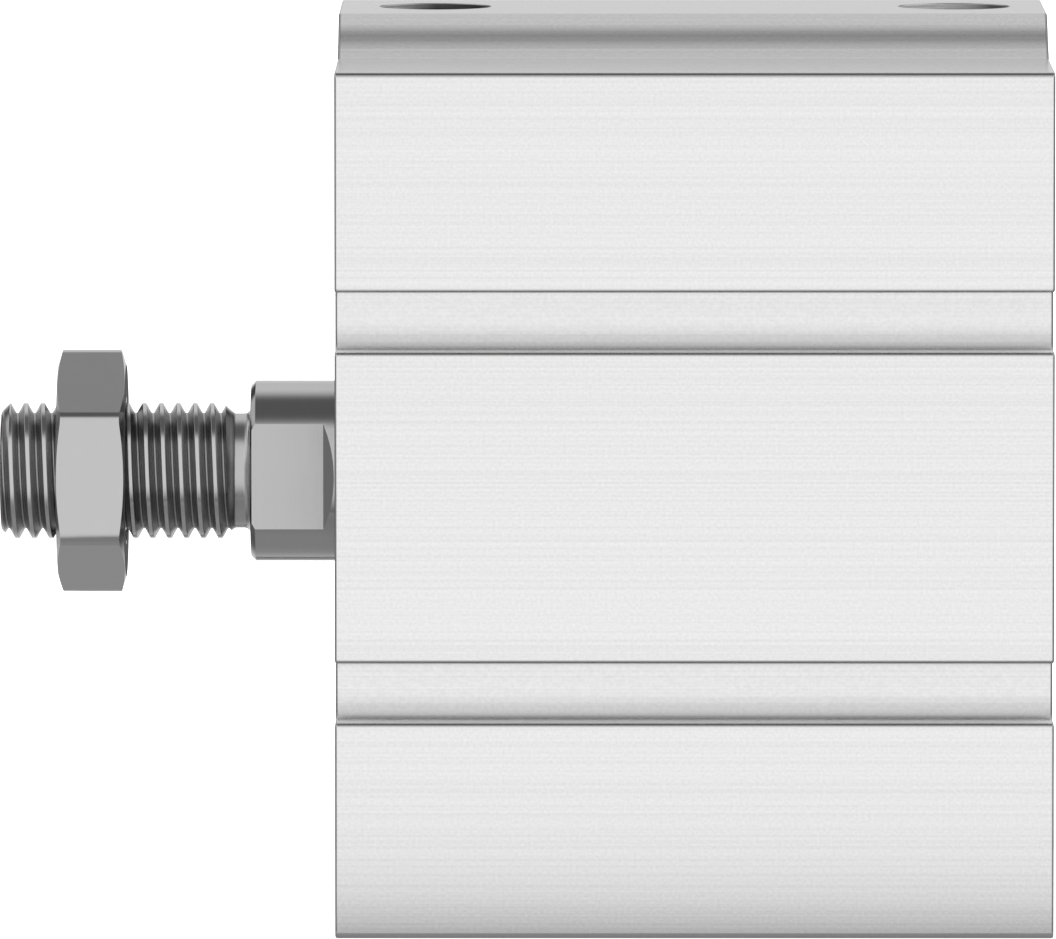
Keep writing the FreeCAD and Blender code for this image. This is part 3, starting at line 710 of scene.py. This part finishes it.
w_map.inputs["From Min"].default_value = -math.pi
w_map.inputs["From Max"].default_value = math.pi
w_ramp = wt.nodes.new("ShaderNodeValToRGB")
els = w_ramp.color_ramp.elements
while len(els) < len(PROFILE):
    els.new(0.5)
for el, (deg, v) in zip(els, PROFILE):
    el.position = (deg + 180.0) / 360.0
    el.color = (v, v, v, 1)
w_abs = wt.nodes.new("ShaderNodeMath")
w_abs.operation = "ABSOLUTE"
w_end = wt.nodes.new("ShaderNodeMapRange")
w_end.interpolation_type = "SMOOTHSTEP"
w_end.inputs["From Min"].default_value = 0.25
w_end.inputs["From Max"].default_value = 0.55
w_side = wt.nodes.new("ShaderNodeMapRange")
w_side.inputs["From Min"].default_value = -1.0
w_side.inputs["From Max"].default_value = 1.0
w_ends = wt.nodes.new("ShaderNodeValToRGB")
els = w_ends.color_ramp.elements
while len(els) < len(ENDS):
    els.new(0.5)
for el, (y, v) in zip(els, ENDS):
    el.position = (y + 1.0) / 2.0
    el.color = (v, v, v, 1)
w_mix = wt.nodes.new("ShaderNodeMix")
w_mix.data_type = "RGBA"
mix_a = [q for q in w_mix.inputs if q.name == "A" and q.type == "RGBA"][0]
mix_b = [q for q in w_mix.inputs if q.name == "B" and q.type == "RGBA"][0]
mix_out = [q for q in w_mix.outputs if q.type == "RGBA"][0]
lk = wt.links.new
lk(w_tc.outputs["Generated"], w_sep.inputs[0])
lk(w_sep.outputs["Y"], w_neg.inputs[0])
lk(w_sep.outputs["Z"], w_atan.inputs[0])
lk(w_neg.outputs[0], w_atan.inputs[1])
lk(w_atan.outputs[0], w_map.inputs["Value"])
lk(w_map.outputs[0], w_ramp.inputs[0])
lk(w_sep.outputs["X"], w_abs.inputs[0])
lk(w_abs.outputs[0], w_end.inputs["Value"])
lk(w_sep.outputs["Y"], w_side.inputs["Value"])
lk(w_side.outputs[0], w_ends.inputs[0])
lk(w_end.outputs[0], w_mix.inputs["Factor"])
lk(w_ramp.outputs[0], mix_a)
w_up = wt.nodes.new("ShaderNodeMapRange")
w_up.inputs["From Min"].default_value = -1.0
w_up.inputs["From Max"].default_value = 1.0
w_endz = wt.nodes.new("ShaderNodeValToRGB")
els = w_endz.color_ramp.elements
while len(els) < len(ENDZ):
    els.new(0.5)
for el, (z, v) in zip(els, ENDZ):
    el.position = (z + 1.0) / 2.0
    el.color = (v, v, v, 1)
w_both = wt.nodes.new("ShaderNodeVectorMath")
w_both.operation = "MULTIPLY"
lk(w_sep.outputs["Z"], w_up.inputs["Value"])
lk(w_up.outputs[0], w_endz.inputs[0])
lk(w_ends.outputs[0], w_both.inputs[0])
lk(w_endz.outputs[0], w_both.inputs[1])
lk(w_both.outputs[0], mix_b)
# lamps high behind the object, the left one brighter
light = mix_out
for way, power in LAMPS:
    w_dot = wt.nodes.new("ShaderNodeVectorMath")
    w_dot.operation = "DOT_PRODUCT"
    w_dot.inputs[1].default_value = way
    w_lamp = wt.nodes.new("ShaderNodeMapRange")
    w_lamp.interpolation_type = "SMOOTHSTEP"
    w_lamp.inputs["From Min"].default_value = math.cos(math.radians(22))
    w_lamp.inputs["From Max"].default_value = math.cos(math.radians(9))
    w_lamp.inputs["To Max"].default_value = power
    w_add = wt.nodes.new("ShaderNodeVectorMath")
    w_add.operation = "ADD"
    lk(w_tc.outputs["Generated"], w_dot.inputs[0])
    lk(w_dot.outputs["Value"], w_lamp.inputs["Value"])
    lk(light, w_add.inputs[0])
    lk(w_lamp.outputs[0], w_add.inputs[1])
    light = w_add.outputs[0]
# two dark flags behind the object
for way in FLAGS:
    w_dot = wt.nodes.new("ShaderNodeVectorMath")
    w_dot.operation = "DOT_PRODUCT"
    w_dot.inputs[1].default_value = way
    w_flag = wt.nodes.new("ShaderNodeMapRange")
    w_flag.interpolation_type = "SMOOTHSTEP"
    w_flag.inputs["From Min"].default_value = math.cos(math.radians(15))
    w_flag.inputs["From Max"].default_value = math.cos(math.radians(7))
    w_flag.inputs["To Min"].default_value = 1.0
    w_flag.inputs["To Max"].default_value = 0.12
    w_cut = wt.nodes.new("ShaderNodeVectorMath")
    w_cut.operation = "SCALE"
    lk(w_tc.outputs["Generated"], w_dot.inputs[0])
    lk(w_dot.outputs["Value"], w_flag.inputs["Value"])
    lk(light, w_cut.inputs[0])
    lk(w_flag.outputs[0], w_cut.inputs["Scale"])
    light = w_cut.outputs[0]
lk(light, w_bg.inputs["Color"])
lk(w_bg.outputs[0], w_out.inputs[0])
w_bg.inputs["Strength"].default_value = 1.436

# ---------------------------------------------------------------------- camera
EL = math.radians(4.876)
F_PX, W_PX = 16511.0, 1056.0
cam_data = bpy.data.cameras.new("camera")
cam = bpy.data.objects.new("camera", cam_data)
scene.collection.objects.link(cam)
cam_data.sensor_width = 36.0
cam_data.lens = 36.0 * F_PX / W_PX
cam_data.clip_start, cam_data.clip_end = 0.05, 60.0
forward = (Vector((0, math.cos(EL), -math.sin(EL))) + Vector((1, 0, 0)) * (528.0 - 589.1) / F_PX).normalized()
up = Vector((0, math.sin(EL), math.cos(EL)))
right = forward.cross(up).normalized()
up = right.cross(forward)
cam.matrix_world = Matrix((
    (right.x, up.x, -forward.x, 21.99 * MM),
    (right.y, up.y, -forward.y, -1458.4 * MM),
    (right.z, up.z, -forward.z, 124.5 * MM),
    (0, 0, 0, 1),
))
scene.camera = cam
scene.view_settings.view_transform = "Standard"
scene.view_settings.look = "None"

bpy.context.view_layer.update()
